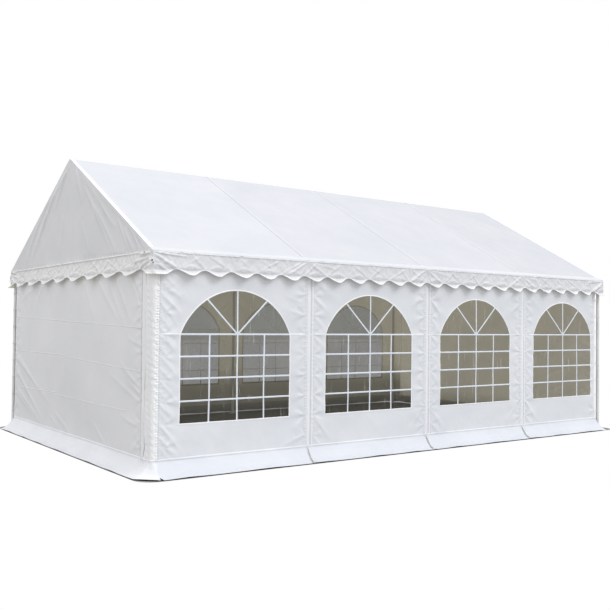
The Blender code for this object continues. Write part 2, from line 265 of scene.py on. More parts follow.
# about a third of the view through the film is covered by painted shade
finishes["windowFilm"] = makeFilm(0.36)
for name, look in {"powderCoat": ((0.78, 0.79, 0.8), 0.35, 0.0, 700.0, 0.0002),
                   "lacingCord": ((0.93, 0.93, 0.92), 0.75, 0.0, 900.0, 0.0008),
                   "eyeletMetal": ((0.66, 0.66, 0.65), 0.38, 0.8, 300.0, 0.0002),
                   # near-black eyelets: painted shadow behind the eave knots
                   "darkEyelet": ((0.10, 0.10, 0.10), 0.5, 0.0, 300.0, 0.0002)}.items():
    finishes[name] = grainFinish(name, *look)
print("finishes made")


# cloth shaping: every fold is a small push outwards, in metres, at a place on the flat cloth
def ramp(value, low, high):
    share = np.clip((value - low) / (high - low), 0, 1)
    return share * share * (3 - 2 * share)


def hump(value, width):
    return np.exp(-(value / width) ** 2)


def swell(u, v, seed, size, count=6):
    dice = np.random.RandomState(seed)
    total = np.zeros(np.broadcast(u, v).shape)
    for _ in range(count):
        angle, phase = dice.uniform(0, math.tau, 2)
        wave = math.tau / (size * dice.uniform(0.7, 1.6))
        total += np.sin((u * math.cos(angle) + v * math.sin(angle)) * wave + phase)
    return total / math.sqrt(count)


def alongAndBeside(u, v, startU, startV, endU, endV):
    runU, runV = endU - startU, endV - startV
    length = math.hypot(runU, runV)
    along = np.clip(((u - startU) * runU + (v - startV) * runV) / length ** 2, 0, 1)
    return along, ((u - startU) * runV - (v - startV) * runU) / length, length


# a fold's line is its start, its end, its width and its height
def crease(u, v, line):  # sharp and narrow where it starts, then wider and lower
    startU, startV, _, _, width, height = line
    along, beside, length = alongAndBeside(u, v, *line[:4])
    bow = 0.035 * min(length, 0.45) * math.sin(37 * startU + 91 * startV) * np.sin(along * math.pi)
    wide = width * (0.55 + 0.9 * along)
    rounded = np.sqrt((beside + bow) ** 2 + (0.45 * wide) ** 2) - 0.45 * wide
    return height * np.exp(-rounded / wide) * np.sin(along * math.pi) ** 0.5 * (1.25 - 0.6 * along)


def ridge(u, v, line):  # a stiff fold with a crisp top
    width, height = line[4:]
    along, beside, _ = alongAndBeside(u, v, *line[:4])
    slope = np.sqrt(beside ** 2 + 4e-6) / (width * (0.7 + 0.6 * along))
    return height * np.maximum(1 - slope, 0) * np.sin(along * math.pi) ** 0.5


def fan(u, v, centre, facing, height, reach, spokes, turn):
    across, up = (u - centre[0]) * facing, v - centre[1]
    far = np.hypot(across, up) + 1e-6
    angle = np.arctan2(up, across)
    lobes = np.cos(angle * spokes + turn)
    lobes = np.sign(lobes) * np.abs(lobes) ** 0.7 * hump(angle, 1.3)
    return height * lobes * far / reach * np.exp(1 - far / reach)


# grid lines and routes on the flat cloth
def gridLines(start, *stretches):
    places = [start]
    for end, step in stretches:
        count = max(1, round((end - places[-1]) / step))
        places += list(np.linspace(places[-1], end, count + 1)[1:])
    return np.array(places)


def upRoute(u, rows):
    return [(u, v) for v in rows]


def straightRoute(start, end, step=0.028):
    count = max(2, round(math.hypot(end[0] - start[0], end[1] - start[1]) / step))
    return [(start[0] + (end[0] - start[0]) * n / count, start[1] + (end[1] - start[1]) * n / count)
            for n in range(count + 1)]


# meshes
def newGrid(bm, columns, rows):  # its vertices, with the column and row of each
    made = bmesh.ops.create_grid(bm, x_segments=columns, y_segments=rows, size=0.5)["verts"]
    column = np.array([round((vert.co.x + 0.5) * columns) for vert in made])
    row = np.array([round((vert.co.y + 0.5) * rows) for vert in made])
    return made, column, row


def moveTo(made, spots):
    for vert, spot in zip(made, spots):
        vert.co = spot


def readThrees(items, label):
    values = np.empty(len(items) * 3)
    items.foreach_get(label, values)
    return values.reshape(-1, 3)


def setWeave(mesh, flat):  # the cloth's own coordinates
    corners = np.empty(len(mesh.loops), int)
    mesh.loops.foreach_get("vertex_index", corners)
    mesh.uv_layers.new(name="cloth").data.foreach_set("uv", flat[corners].ravel())


def newMesh(name, bm):
    mesh = bpy.data.meshes.new(name)
    bm.to_mesh(mesh)
    bm.free()
    return mesh


def addObject(name, mesh, looks):
    obj = bpy.data.objects.new(name, mesh)
    bpy.context.scene.collection.objects.link(obj)
    for look in looks:
        mesh.materials.append(finishes[look])
    mesh.polygons.foreach_set("use_smooth", [True] * len(mesh.polygons))
    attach(obj, "root")
    return obj


# a piece of cloth: a flat grid with its lines at the given places, cut while flat, then hung by place(u, v)
def clothPiece(name, across, along, place, looks, cut=None, zone=None):
    bm = bmesh.new()
    made, column, row = newGrid(bm, len(across) - 1, len(along) - 1)
    moveTo(made, np.stack([across[column], along[row], 0.0 * row], 1))
    if cut:
        cut(bm)
    mesh = newMesh(name, bm)
    flat = readThrees(mesh.vertices, "co")
    setWeave(mesh, flat[:, :2])
    if zone:
        middles = readThrees(mesh.polygons, "center")
        mesh.polygons.foreach_set("material_index", zone(middles[:, 0], middles[:, 1]).astype(np.int32))
    mesh.vertices.foreach_set("co", place(flat[:, 0], flat[:, 1]).ravel())
    mesh.update()
    return addObject(name, mesh, looks)


# a welded band or bar: a long grid laid on the same cloth along a route, raised in its middle
def addStrip(bm, place, route, width, base, thick, closed=False, edge=0.002):
    route = np.array(route, float)
    steps = np.roll(route, -1, 0) - route
    if not closed:
        steps[-1] = steps[-2]
    steps /= np.hypot(steps[:, 0], steps[:, 1])[:, None]
    before = np.roll(steps, 1, 0)
    if not closed:
        before[0] = steps[0]
    ahead = steps + before
    ahead /= np.hypot(ahead[:, 0], ahead[:, 1])[:, None]
    mitre = 1 / np.maximum((ahead * steps).sum(1), 0.4)
    side = np.stack([ahead[:, 1], -ahead[:, 0]], 1) * mitre[:, None]
    if closed:
        route, side = np.vstack([route, route[:1]]), np.vstack([side, side[:1]])
    offsets = np.array([-width / 2, edge - width / 2, width / 2 - edge, width / 2])
    lifts = np.array([0, thick, thick, 0]) + base
    made, column, row = newGrid(bm, 3, len(route) - 1)
    flat = route[row] + side[row] * offsets[column][:, None]
    moveTo(made, place(flat[:, 0], flat[:, 1], lifts[column]))
    if closed:
        bmesh.ops.remove_doubles(bm, verts=made, dist=1e-5)


def roundTurns(count):
    return np.linspace(0, math.tau, count + 1)[:-1]


# a round cord through points in space
def addTube(bm, points, radius, sides=5, closed=True):
    points = np.array(points, float)
    ahead = np.roll(points, -1, 0) - np.roll(points, 1, 0)
    if not closed:
        ahead[0], ahead[-1] = points[1] - points[0], points[-1] - points[-2]
    ahead /= np.linalg.norm(ahead, axis=1)[:, None]
    normal = np.linalg.svd(points - points.mean(0))[2][2]
    firstSide = np.cross(ahead, normal)
    firstSide /= np.linalg.norm(firstSide, axis=1)[:, None] + 1e-9
    secondSide = np.cross(ahead, firstSide)
    made, side, ring = newGrid(bm, sides, len(points) - (0 if closed else 1))
    turn, ring = (math.tau * side / sides)[:, None], ring % len(points)
    moveTo(made, points[ring] + radius * (np.cos(turn) * firstSide[ring] + np.sin(turn) * secondSide[ring]))
    bmesh.ops.remove_doubles(bm, verts=made, dist=1e-6)


def trimPiece(name, bm, look, slotName=None):
    if slotName is None:  # cords and eyelets
        bmesh.ops.recalc_face_normals(bm, faces=bm.faces)
    mesh = newMesh(name, bm)
    spots = readThrees(mesh.vertices, "co")
    setWeave(mesh, np.stack([spots[:, 0] + spots[:, 1], spots[:, 2]], 1))
    return addObject(name, mesh, [look])


def stripPiece(name, look, slotName, place, *strips):
    bm = bmesh.new()
    for strip in strips:
        addStrip(bm, place, *strip)
    return trimPiece(name, bm, look, slotName)


def onSide(side, place):  # the back and right pieces are the front and left ones turned half a turn
    if side in ("front", "left"):
        return place
    return lambda *flat: place(*flat) * np.array([-1, -1, 1])


tent = {"posts": (-4.0, -2.0, 0.0, 2.0, 4.0), "halfWidth": 2.5, "clothOffset": 0.0275, "eave": 2.44, "ridge": 3.83,
        "reachX": 4.06, "reachY": 2.56, "length": 8.12, "wallTop": 2.41}
gableRise = tent["ridge"] - tent["eave"]
rise = gableRise / tent["reachY"]
slopeAngle = math.atan(rise)
slopeLength = tent["reachY"] / math.cos(slopeAngle)
tieLevels = np.arange(0.29, 2.16, 0.26)  # of the eyelets and cords at the free edges

# how a wall hangs: upright down to the weld, then flaring out to its hem; v is the height where it is upright
flap = {"weld": 0.18, "spread": 0.18, "curve": 0.35, "hemStand": 0.0135, "hemLift": 0.007}
flapShares = np.linspace(0, 1, 241)


def flapShape(share):
    turn = share * math.pi / 2
    out = flap["spread"] * (flap["curve"] * (1 - np.cos(turn)) + (1 - flap["curve"]) * share)
    up = flap["weld"] * (flap["curve"] * (1 - np.sin(turn)) + (1 - flap["curve"]) * (1 - share))
    return out, up


flapOut, flapUp = flapShape(flapShares)
flapTravel = np.concatenate([[0], np.cumsum(np.hypot(np.diff(flapOut), np.diff(flapUp)))])
flapLength = float(flapTravel[-1])
hemLevel = flap["weld"] - flapLength


def hangProfile(v):
    share = np.interp(flap["weld"] - v, flapTravel, flapShares)
    out, up = flapShape(share)
    nextOut, nextUp = flapShape(share + 0.01)
    runOut, runUp = nextOut - out, nextUp - up
    size = np.hypot(runOut, runUp)
    bend = ramp(v, flap["weld"], flap["weld"] + 0.03)
    return out, up + np.maximum(v - flap["weld"], 0), -runUp / size * (1 - bend) + bend, runOut / size * (1 - bend)


def hungCloth(path, folds):
    def place(u, v, lift=0.0):
        x, y, outX, outY = path(u)
        out, up, leanOut, leanUp = hangProfile(v)
        push = folds(u, v) + lift
        out = out + push * leanOut
        return np.stack([x + outX * out, y + outY * out, np.maximum(up + push * leanUp, 0.0015)], 1)
    return place


def downFlap(v):  # 0 at the weld, 1 at the hem
    return np.clip((flap["weld"] - v) / flapLength, 0, 1)


def hemNotch(low):
    return np.clip((low - 0.78) / 0.22, 0, 1)


def swingOut(v, inward):  # a free edge swings away towards its corner, low down
    return 0.10 * np.clip((0.55 - v) / 0.75, 0, 1) ** 2 * np.exp(-inward / 0.16)


def atFreeEdge(v, inward, reach):  # and its cords pull it in
    return 0.024 * (1 - ramp(inward, 0.0, reach)) * ramp(2.26 - v, 0.0, 0.1)


def flapFolds(u, v, seed):
    first, second = np.random.RandomState(seed + 900).uniform(0, math.tau, 2)
    low = downFlap(v)
    ripples = 0.5 + 0.5 * np.sin(u * math.tau / 0.8 + first + 1.3 * np.sin(u * 2.1 + second))
    lift = (flap["hemStand"] + flap["hemLift"] * ripples ** 2) * ramp(low, 0.6, 1.0)
    return lift + 0.0022 * np.sin(u * math.tau / 0.34 + 2.2 * np.sin(u * 3.1 + second)) * np.sin(low * math.pi)


def hemAndFlap(push, u, v, seed, weldBand):  # folds fade out above the weld, whose lip stands proud
    lip = 0.0015 * np.exp(-np.maximum(v - flap["weld"], 0) / 0.02) * (v >= flap["weld"] - 1e-4)
    return push * ramp(v, flap["weld"] - weldBand[0], flap["weld"] + weldBand[1]) + lip + flapFolds(u, v, seed)


def hungRows(along):  # the rows above the weld
    return [float(v) for v in along if v > flap["weld"] + 0.002]


def weldStrip(across):
    return [(u, flap["weld"] + 0.011) for u in across[1:-2]], 0.022, 0.0004, 0.0034, False, 0.007


# long side walls
wall = {"lap": 0.033, "width": 2.0, "lastWidth": 1.877, "coverStrip": 0.037, "firstTie": 0.322, "tiePitch": 0.243,
        "ties": 9, "eyeletPitch": 0.054, "laceAt": 1.968, "swell": 0.003, "fan": 0.0038, "laced": 0.093,
        "cornerLaced": 0.030, "lean": 0.036, "gathers": (0.20, 2.36)}
window = {"centre": 1.0, "half": 0.73, "sill": 0.565, "spring": 1.545, "rise": 0.5, "border": 0.015, "bar": 0.02,
          "margin": 0.025, "archArea": 0.530, "film": (1.51, 1.522), "filmArea": 2.05}
archRadius = (window["half"] ** 2 + window["rise"] ** 2) / (2 * window["rise"])
archDrop = archRadius - window["rise"]


def archHeight(across, grow=0.0):
    return np.sqrt(np.maximum((archRadius + grow) ** 2 - across ** 2, 0)) - archDrop


# the larger folds that the photograph shows on each wall
wallFoldLines = {
    1: [(0.04, 2.34, 0.66, 2.02, 0.03, 0.007), (0.03, 2.10, 0.44, 1.86, 0.022, 0.008),
        (0.03, 1.98, 0.34, 1.74, 0.02, 0.007), (0.03, 1.86, 0.26, 1.62, 0.018, 0.007),
        (0.03, 0.58, 0.36, 0.20, 0.02, 0.008), (0.03, 0.44, 0.26, 0.19, 0.016, 0.006),
        (1.97, 0.34, 1.56, 0.19, 0.016, 0.006), (1.97, 1.92, 1.62, 2.02, 0.016, 0.005),
        (1.97, 1.78, 1.56, 1.88, 0.014, 0.005), (0.60, 0.52, 0.95, 0.20, 0.03, 0.003)],
    2: [(0.05, 0.56, 0.40, 0.20, 0.02, 0.008), (1.96, 0.56, 1.66, 0.20, 0.018, 0.007),
        (0.05, 2.20, 0.55, 1.92, 0.022, 0.007), (0.05, 2.02, 0.36, 1.78, 0.018, 0.006),
        (1.96, 2.12, 1.62, 1.86, 0.02, 0.006), (0.95, 0.52, 1.25, 0.20, 0.03, 0.003)],
    3: [(0.05, 0.56, 0.36, 0.20, 0.02, 0.008), (1.96, 0.58, 1.62, 0.20, 0.02, 0.007),
        (0.05, 2.04, 0.42, 1.74, 0.02, 0.007), (1.96, 2.22, 1.48, 1.98, 0.022, 0.007),
        (1.96, 2.0, 1.64, 1.82, 0.016, 0.006)],
    4: [(0.05, 0.58, 0.42, 0.20, 0.02, 0.008), (1.84, 0.62, 1.56, 0.22, 0.018, 0.007),
        (0.05, 2.20, 0.46, 1.92, 0.02, 0.007), (1.84, 2.06, 1.60, 1.66, 0.018, 0.006),
        (1.84, 1.80, 1.72, 1.58, 0.014, 0.005)],
}


# pulled in from each tie, steeply on the left, nearly level on the right
def edgePleats(dice, ties, leftU, rightU, strength):
    pleats = []
    for level in ties:
        for below, share in ((0.0, 1.0), (0.125, 0.7)):
            start, reach = level - below + dice.uniform(-0.03, 0.03), share * dice.uniform(0.18, 0.27)
            stop = start - reach * dice.uniform(0.75, 1.25)
            pleats.append((leftU, start, leftU + reach, stop, 0.021, strength * share * dice.uniform(0.006, 0.010)))
        pleats.append((rightU, level, rightU - dice.uniform(0.12, 0.2), level + dice.uniform(-0.05, 0.06), 0.014,
                       dice.uniform(0.003, 0.007)))
        start = level + dice.uniform(0.07, 0.15)
        pleats.append((rightU, start, rightU - dice.uniform(0.08, 0.16), start + dice.uniform(-0.03, 0.03), 0.012,
                       dice.uniform(0.002, 0.005)))
    return pleats


def wallFolds(seed, number, width, lines):
    dice = np.random.RandomState(seed)
    laceAt = wall["laceAt"] if number < 4 else width - 0.03
    ties = [wall["firstTie"] + wall["tiePitch"] * step for step in range(wall["ties"])]
    turns = dice.uniform(0, math.tau, (len(ties), 2))
    sizes = wall["fan"] * dice.uniform(0.6, 1.3, (len(ties), 2))
    phases = dice.uniform(0, math.tau, 4)
    leftU, strength = (0.02, 1.1) if number == 1 else (0.09, 0.6)  # the first wall is pulled hardest, at the corner
    pleats = edgePleats(dice, ties, leftU, laceAt, strength)

    def folds(u, v):
        push = wall["swell"] * swell(u, v, seed, 0.9) + 0.001 * swell(u, v, seed + 50, 0.3)
        push *= ramp(u, 0.02, 0.2) * ramp(width - u, 0.02, 0.2)
        for row, level in enumerate(ties):
            for column, (sideU, facing) in enumerate(((0.082, 1), (laceAt, -1))):
                push += fan(u, v, (sideU, level), facing, sizes[row, column], 0.07, 6, turns[row, column])
        for line in pleats + lines:
            push += crease(u, v, line)
        puckers = np.cos(v * math.tau / wall["eyeletPitch"] + 1.5 * np.sin(v * 7 + phases[2]))
        puckers = (0.6 + 0.4 * np.sin(v * 11 + phases[3])) * puckers
        push += 0.0017 * puckers * hump(np.maximum(u - 0.055, 0), 0.045) * ramp(u, 0.035, 0.055)
        push += 0.0018 * puckers * hump(u - laceAt, 0.03)
        overPost = hump(u - 1.967, 0.045) if number < 4 else 0.0
        return np.maximum(hemAndFlap(push, u, v, seed, (0.02, 0.02)), -0.007 * (1 - overPost))
    return folds


def wallPlace(number, width, seed, lines):
    start = tent["posts"][number - 1] + wall["lap"]
    folds = wallFolds(seed, number, width, lines)

    def path(u):
        return start + u, np.full(np.shape(u), -tent["halfWidth"] - tent["clothOffset"]), 0.0, -1.0

    def layered(u, v):
        if number == 4:
            return folds(u, v) - atFreeEdge(v, width - u, 0.16)
        over = np.where(v > flap["weld"] - 1e-4, 0.0035, -0.003)
        return folds(u, v) + over * ramp(u, width - 0.025, width + 0.005)
    hung = hungCloth(path, layered)

    def place(u, v, lift=0.0):  # the flaps part at each post and lean over one another towards the right
        spots = hung(u, v, lift)
        low = downFlap(v)
        lean = low ** 1.4 * -wall["lean"] * np.exp(-u / 0.1)
        if number < 4:
            lean -= 0.030 * ramp(low, 0.0, 0.15) * np.exp(-np.maximum(width - u, 0) / 0.1)
        else:
            lean += swingOut(v, width - u)
        if number == 1:
            lean += 0.05 * hemNotch(low) * np.exp(-u / 0.03)
        curl = (0.007 if number > 1 else -0.003) * hump(u, 0.034) * ramp(low, 0.0, 0.25) * (1 - 0.6 * low)
        return spots + np.stack([lean, curl * -0.6, curl], 1)
    return place


def cutWindow(bm):
    centre, half, sill, spring = (window[key] for key in ("centre", "half", "sill", "spring"))
    gone = []
    for face in bm.faces:
        middle = face.calc_center_median()
        if abs(middle.x - centre) < half and sill < middle.y < spring:
            gone.append(face)
    bmesh.ops.delete(bm, geom=gone, context="FACES")
    room = tent["wallTop"] - spring
    for vert in bm.verts:  # rows above the spring line bend over the arch
        across = vert.co.x - centre
        if abs(across) < half + 1e-6 and vert.co.y > spring - 1e-6:
            arch = max(float(archHeight(across)), 0)
            vert.co.y = spring + arch + (vert.co.y - spring) * (room - arch) / room


def windowOutline(grow):
    centre, half, sill, spring = (window[key] for key in ("centre", "half", "sill", "spring"))
    left, right, radius = centre - half - grow, centre + half + grow, archRadius + grow
    route = [(x, sill - grow) for x in np.linspace(left, right, 50)]
    route += [(right, z) for z in np.linspace(sill - grow, spring, 34)[1:-1]]
    limit = math.asin((half + grow) / radius)
    for turn in np.linspace(limit, -limit, 66):
        route.append((centre + radius * math.sin(turn), spring - archDrop + radius * math.cos(turn)))
    return route + [(left, z) for z in np.linspace(spring, sill - grow, 34)[1:-1]]


def windowBars():
    centre, half, sill, spring, width = (window[key] for key in ("centre", "half", "sill", "spring", "bar"))
    bars = []
    for step in range(4):
        level = spring - step * (spring - sill) / 4
        bars.append(((centre - half - 0.004, level), (centre + half + 0.004, level), 0.0018))
    for across, top in ((-half / 2, spring), (half / 2, spring), (0, spring + window["rise"] + 0.004)):
        bars.append(((centre + across, sill - 0.004), (centre + across, top), 0.0022))
    for across in (-0.4, 0.4):
        bars.append(((centre, spring), (centre + across, spring + float(archHeight(across))), 0.002))
    return [(straightRoute(start, end), width, -0.0013, thick) for start, end, thick in bars]


def addRuffle(bm, place, u, width, low, high, height, dice):  # small gathers along a laced edge
    count = round((high - low) / 0.0055)
    made, column, row = newGrid(bm, 4, count)
    phase = np.cumsum(dice.uniform(0.7, 1.7, count + 1))[row] + 1.1 * column * dice.choice([-1, 1])
    marks = np.arange(0, count + 12, 12)
    size = np.interp(row, marks, dice.uniform(0.35, 1.2, len(marks)))
    shape = np.array([0.0, 0.85, 1.0, 0.85, 0.0])[column]
    lift = 0.0005 + shape * (0.0006 + height * size * (0.5 + 0.5 * np.cos(phase)))
    moveTo(made, place(u + width * (column / 4 - 0.5), low + (high - low) * row / count, lift))


def addEyelet(bm, place, u, v, radius=0.005):
    turns = roundTurns(8)
    ring = place(u + radius * np.cos(turns), v + radius * np.sin(turns), np.full(8, 0.002))
    addTube(bm, ring, 0.0016, 4)


def makeWindowWall(side, number, seed, lines):
    width = wall["width"] if number < 4 else wall["lastWidth"]
    last = width + wall["coverStrip"] if number < 4 else width
    place = onSide(side, wallPlace(number, width, seed, lines))
    left, right, spring = window["centre"] - window["half"], window["centre"] + window["half"], window["spring"]
    laced = wall["laced"] if number > 1 else wall["cornerLaced"]
    lapStretch = [(last, 0.009)] if number < 4 else []
    across = gridLines(0.0, (left, 0.010), (right, 0.0325), (width, 0.010), *lapStretch)
    along = gridLines(hemLevel, (flap["weld"] - 0.002, 0.017), (flap["weld"], 0.002), (window["sill"], 0.0125),
                      (spring, 0.0135), (tent["wallTop"], 0.0135))
    cloth = clothPiece(f"{side}WallCloth{number}", across, along, place, ["wallCloth", "flapCloth"],
                       cutWindow, lambda u, v: (v < flap["weld"]))
    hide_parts(f"{side}_wall_{number}")

    def filmPlace(u, share):
        top = spring + archHeight(u - window["centre"], window["margin"])
        bottom = window["sill"] - window["margin"]
        return place(u, bottom + share * (top - bottom), -0.0028)
    filmAcross = np.linspace(left - window["margin"], right + window["margin"], 46)
    film = clothPiece(f"{side}WindowFilm{number}", filmAcross, np.linspace(0.0, 1.0, 46), filmPlace, ["windowFilm"])
    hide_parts(f"{side}_window_{number}")

    def trim(kind, look, *strips):
        return stripPiece(f"{side}{kind}{number}", look, "wall_pvc", place, *strips)
    rows = hungRows(along)
    together = [trim("WindowBars", "barCloth", *windowBars()),
                trim("WindowRim", "rimCloth", (windowOutline(0.004), window["border"], 0.0004, 0.0024, True))]
    bands = [(straightRoute((0.004, spring), (left - 0.008, spring), 0.012), 0.02, 0.0002, 0.0016),
             (straightRoute((right + 0.008, spring), (width - 0.05, spring), 0.012), 0.02, 0.0002, 0.0016)]
    if number > 1:
        bands.append((upRoute(0.070, rows), 0.024, 0.0002, 0.0026))
    bands.append((upRoute(width + 0.013, rows), 0.044, 0.0004, 0.0016) if number < 4 else
                 (upRoute(width - 0.022, rows), 0.042, 0.0004, 0.0014))
    together.append(trim("WallBands", "hemCloth", *bands, weldStrip(across)))

    bm = bmesh.new()
    dice = np.random.RandomState(seed + 400)
    addRuffle(bm, place, laced, 0.026, *wall["gathers"], 0.0050, dice)
    if number < 4:
        addRuffle(bm, place, 1.970, 0.042, *wall["gathers"], 0.0060, dice)
    together.append(trimPiece(f"{side}WallGathers{number}", bm, "wallCloth", "wall_pvc"))
    if number > 1:  # the lap over the wall before it
        lower = [float(v) for v in along if hemLevel + 0.004 < v < flap["weld"] - 0.006]
        # a grey line beside the lap's edge and a greyed band low on the flap: painted shade
        together.append(trim("WallPaintedShade", "paintedShadeCloth", (upRoute(0.047, rows), 0.018, 0.0002, 0.0004),
                             (upRoute(0.033, lower), 0.036, 0.0002, 0.0012)))
        # a dark line along the flap's edge: painted shadow
        together.append(trim("WallPaintedShadow", "paintedShadowCloth", (upRoute(0.008, lower), 0.010, 0.0002, 0.0006)))

    bm = bmesh.new()
    for v in np.arange(0.25, 2.18, wall["eyeletPitch"])[::1 if number > 1 else 5]:
        addEyelet(bm, place, laced, v, 0.0035)
    for v in tieLevels if number == 4 else ():
        addEyelet(bm, place, width - 0.02, v)
    together.append(trimPiece(f"{side}WallEyelets{number}", bm, "eyeletMetal"))


for side, firstSeed in (("front", 0), ("back", 57)):
    for number in (1, 2, 3, 4):
        lines = wallFoldLines[number if side == "front" else 5 - number]
        lines = [line for line in lines if line[0] < (2.0 if number < 4 else 1.87)]
        makeWindowWall(side, number, 100 * number + firstSeed, lines)
    print(side, "window walls made")


# gable walls: from the far post, along the gable, round the near corner post and a little way onto the long side
gable = {"farEdge": 2.41, "run": 4.91, "onto": 0.045, "overEdge": 4.703, "swell": 0.005, "columnFrom": 4.708,
         "lean": 0.040, "firstTie": 0.30, "tiePitch": 0.26, "ties": 8, "gathers": (0.19, 2.36)}
cornerArc = tent["clothOffset"] * math.pi / 2
cornerEnd = gable["run"] + cornerArc
gableLength = cornerEnd + gable["onto"]

gableFoldLines = [
    (0.03, 1.15, 0.90, 0.85, 0.022, 0.008), (0.03, 1.22, 1.75, 0.50, 0.026, 0.008),
    (0.03, 0.98, 1.45, 0.24, 0.026, 0.010), (0.05, 0.70, 1.40, 0.19, 0.024, 0.009),
    (0.05, 0.62, 0.90, 0.30, 0.020, 0.007), (1.93, 0.42, 2.52, 0.19, 0.022, 0.006),
    (1.70, 0.37, 2.08, 0.20, 0.018, 0.005), (0.05, 1.90, 0.50, 2.18, 0.02, 0.006),
    (0.10, 1.90, 1.12, 2.22, 0.022, 0.006), (3.27, 2.26, 4.12, 1.62, 0.028, 0.009),
    (3.67, 2.22, 4.20, 1.62, 0.024, 0.008), (3.92, 2.20, 4.36, 1.68, 0.024, 0.009),
    (4.30, 2.20, 4.70, 1.72, 0.020, 0.008), (4.44, 2.20, 4.69, 1.92, 0.018, 0.007),
    (4.68, 1.42, 4.30, 1.50, 0.016, 0.006), (4.69, 0.94, 4.10, 1.22, 0.020, 0.008),
    (4.69, 0.88, 4.30, 1.02, 0.018, 0.006), (4.60, 0.80, 3.72, 1.06, 0.022, 0.006),
    (3.32, 0.42, 3.70, 0.20, 0.020, 0.006), (4.69, 0.52, 4.13, 0.60, 0.018, 0.006),
    (2.9, 2.2, 3.3, 1.7, 0.03, 0.006), (1.3, 2.2, 0.95, 1.80, 0.03, 0.005),
    (4.69, 0.46, 4.40, 0.20, 0.018, 0.007), (4.69, 1.75, 4.45, 1.66, 0.014, 0.006),
]
# fine ridges left in the sheet where it was stored folded: start and end
gableRidges = [((0.04, 1.74), (2.48, 1.67)), ((2.55, 1.672), (4.66, 1.61)), ((0.05, 1.22), (2.33, 1.225)),
               ((2.30, 1.205), (4.67, 1.13)), ((0.17, 0.665), (1.92, 0.70)), ((1.57, 0.675), (4.25, 0.665))]
# the lap round the corner post stands proud of the panel, then falls away: distance past its edge, push
columnShape = ((-0.006, -0.001, 0.003, 0.010, 0.048, 0.056, 0.079, 0.086, 0.150, 0.207),
               (0.0, -0.012, -0.012, 0.017, 0.001, -0.007, -0.007, 0.012, 0.001, 0.0))


def cornerTurn(u):
    return np.clip((u - gable["run"]) / tent["clothOffset"], 0, math.pi / 2)


def gablePath(u):
    turn = cornerTurn(u)
    x = -4.0 - tent["clothOffset"] * np.cos(turn) + np.maximum(u - cornerEnd, 0)
    y = gable["farEdge"] - np.minimum(u, gable["run"]) - tent["clothOffset"] * np.sin(turn)
    return x, y, -np.cos(turn), -np.sin(turn)


def gableFolds(seed):
    dice = np.random.RandomState(seed)
    ties = [gable["firstTie"] + gable["tiePitch"] * step for step in range(gable["ties"])]
    turns = dice.uniform(0, math.tau, len(ties))
    phases = dice.uniform(0, math.tau, 4)
    edge = gable["overEdge"]
    footFolds = [(edge + 0.028, 0.78, edge + 0.036, 0.17, 0.020, 0.024),
                 (edge + 0.050, 0.95, edge + 0.100, 0.17, 0.014, -0.020),
                 (edge + 0.120, 0.50, edge + 0.135, 0.17, 0.022, 0.012)]

    def folds(u, v):
        flat = ramp(u, 0.03, 0.3) * ramp(4.85 - u, 0.0, 0.3)
        push = (gable["swell"] * swell(u, v, seed, 1.3) + 0.0015 * swell(u, v * 0.6, seed + 3, 0.45)) * flat
        for line in gableFoldLines:
            push += crease(u, v, line)
        for row, level in enumerate(ties):
            push += fan(u, v, (0.02, level), 1, 0.004, 0.09, 8, turns[row])
            push += fan(u, v, (edge, level), -1, 0.003, 0.07, 8, turns[-row - 1])
        puckers = np.cos(v * math.tau / wall["eyeletPitch"] + 1.6 * np.sin(v * 6 + phases[1]))
        ragged = 0.003 * (0.5 + 0.5 * np.sin(v * 13 + phases[3])) * puckers
        push += (0.010 + ragged) * ramp(u, edge - 0.07, edge - 0.006) * (1 - ramp(u, edge - 0.005, edge + 0.005))
        push += np.interp(u - edge, *columnShape) * (0.85 + 0.15 * np.sin(v * 4 + phases[2]))
        worn = ramp(u, edge + 0.09, edge + 0.12)
        push += worn * (0.0022 * swell(u, v, seed + 5, 0.05) + 0.0015 * swell(u, v, seed + 6, 0.025))
        for line in footFolds:
            push += ridge(u, v, line)
        wrap = hump(u - gable["run"] - 0.3 * cornerArc, 0.03)
        push += 0.006 * wrap * (0.85 + 0.15 * np.sin(v * 5 + phases[0]))
        push += 0.0025 + 0.003 * hump(u - gableLength + 0.014, 0.016)
        pocket = np.clip((0.46 - v) / 0.28, 0, 1)  # opens downwards beside the lap
        beside = u - edge - 0.035 - 0.02 * pocket
        wedge = np.maximum(1 - np.maximum(-beside / 0.014, beside / (0.012 + 0.05 * pocket)), 0)
        push += 0.030 * pocket ** 1.3 * wedge * (v > flap["weld"] - 0.1)
        least = np.where(u > edge - 0.01, -0.02, -0.012 * flat)
        return np.maximum(hemAndFlap(push, u, v, seed, (0.05, 0.01)), least) - atFreeEdge(v, u, 0.2)
    return folds


